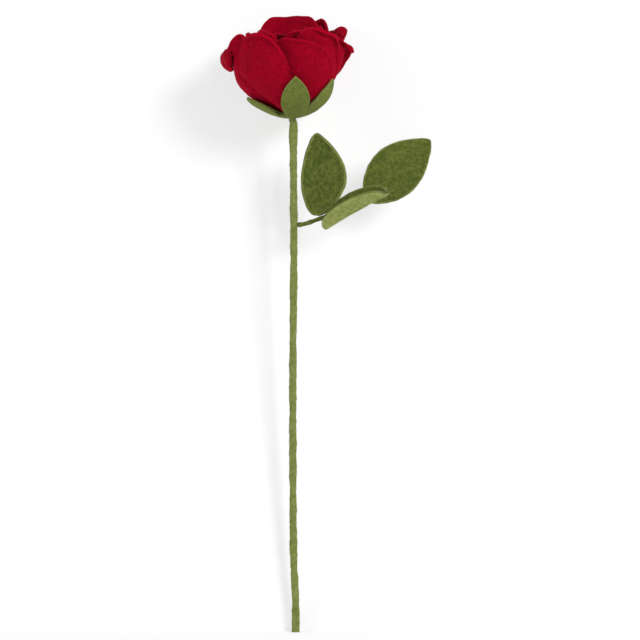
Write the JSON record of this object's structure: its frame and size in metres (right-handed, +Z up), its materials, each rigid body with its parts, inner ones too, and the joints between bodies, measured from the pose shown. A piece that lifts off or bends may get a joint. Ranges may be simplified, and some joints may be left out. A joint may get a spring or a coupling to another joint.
{
  "type": "felt rose",
  "caption": "Long-stemmed rose made of cut felt: cupped, overlapping petals round a rolled bud, a star calyx, a felt-wrapped wire stem and a side spray of leaves.",
  "frame": {"origin": "middle of the stem's flat cut foot", "axes": "+Z up the stem towards the bloom, +X towards the side with the leaves, -Y towards the viewer who sees the front sepal"},
  "size_m": [0.1374, 0.075, 0.4022],
  "materials": {
    "red_felt": "matt wool felt",
    "dark_red_felt": "matt wool felt",
    "green_felt": "matt wool felt",
    "light_green_felt": "matt wool felt",
    "wire": "plain drawn wire"
  },
  "bodies": {
    "root": {"outer_petal_front_left": "red_felt", "outer_petal_front_right": "red_felt", "outer_petal_right_front": "red_felt", "outer_petal_right": "red_felt", "outer_petal_right_back": "red_felt", "outer_petal_back_right": "red_felt", "outer_petal_back": "red_felt", "outer_petal_back_left": "red_felt", "outer_petal_left": "red_felt", "middle_petal_1": "red_felt", "middle_petal_2": "red_felt", "middle_petal_3": "red_felt", "middle_petal_4": "red_felt", "middle_petal_5": "red_felt", "inner_petal_1": "red_felt", "inner_petal_2": "red_felt", "inner_petal_3": "red_felt", "calyx": "light_green_felt", "bloom_core": "dark_red_felt", "bud_roll": "dark_red_felt", "stem_wire": "wire", "branch_wire": "wire", "branch_sleeve": "green_felt", "stem_wrap": "green_felt", "leaf_left": "light_green_felt", "leaf_middle": "light_green_felt", "leaf_end": "light_green_felt"}
  },
  "joints": []
}
